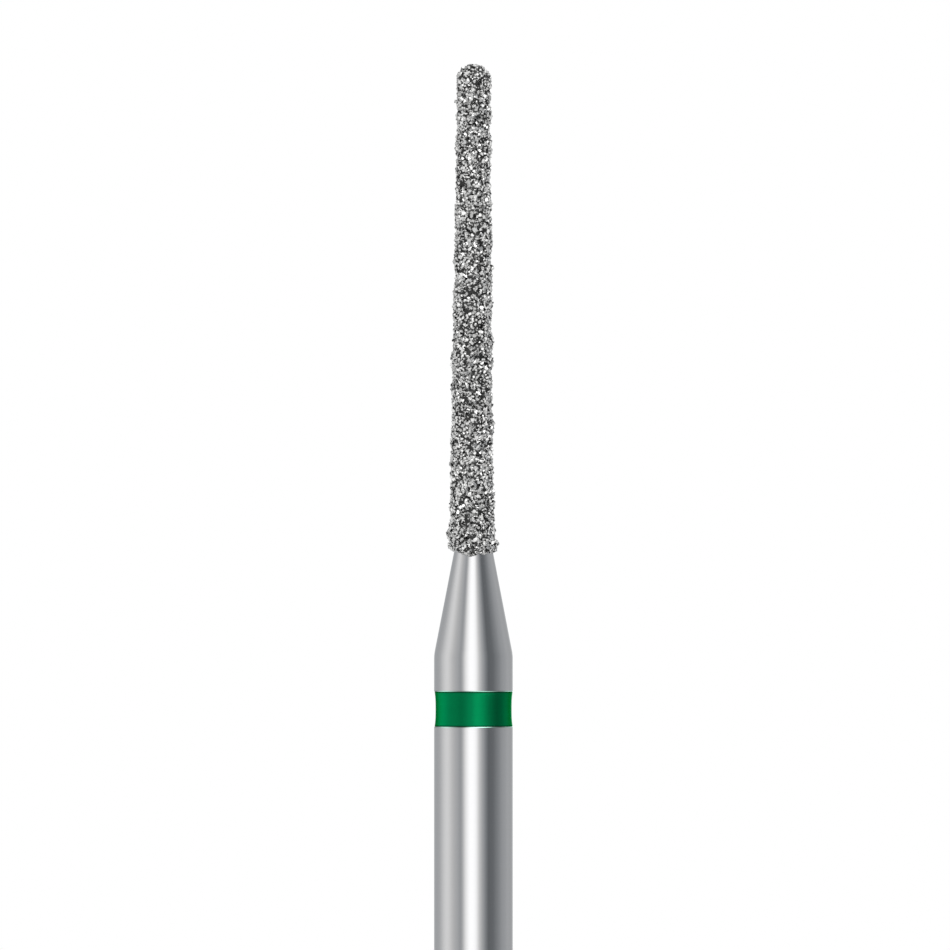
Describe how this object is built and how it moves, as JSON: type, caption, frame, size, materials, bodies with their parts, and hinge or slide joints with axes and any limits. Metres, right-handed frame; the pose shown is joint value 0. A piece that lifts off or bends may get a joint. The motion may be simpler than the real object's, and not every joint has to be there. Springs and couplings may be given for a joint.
{
  "type": "diamond dental bur",
  "caption": "Slim tapered abrasive head with a round end on a conical neck and a straight friction-grip shank, with a green ring that tells the grit.",
  "frame": {"origin": "centre of the flat end face of the shank", "axes": "+Z along the axis the bur spins on, from the shank's end towards the round tip of the head; X and Y are alike"},
  "size_m": [0.0016, 0.0016, 0.023],
  "materials": {
    "steel": "polished",
    "diamond_grit": "satin",
    "green_lacquer": "gloss"
  },
  "bodies": {
    "root": {"steel_blank": "steel", "diamond_coat": "diamond_grit", "grit_band": "green_lacquer"}
  },
  "joints": []
}
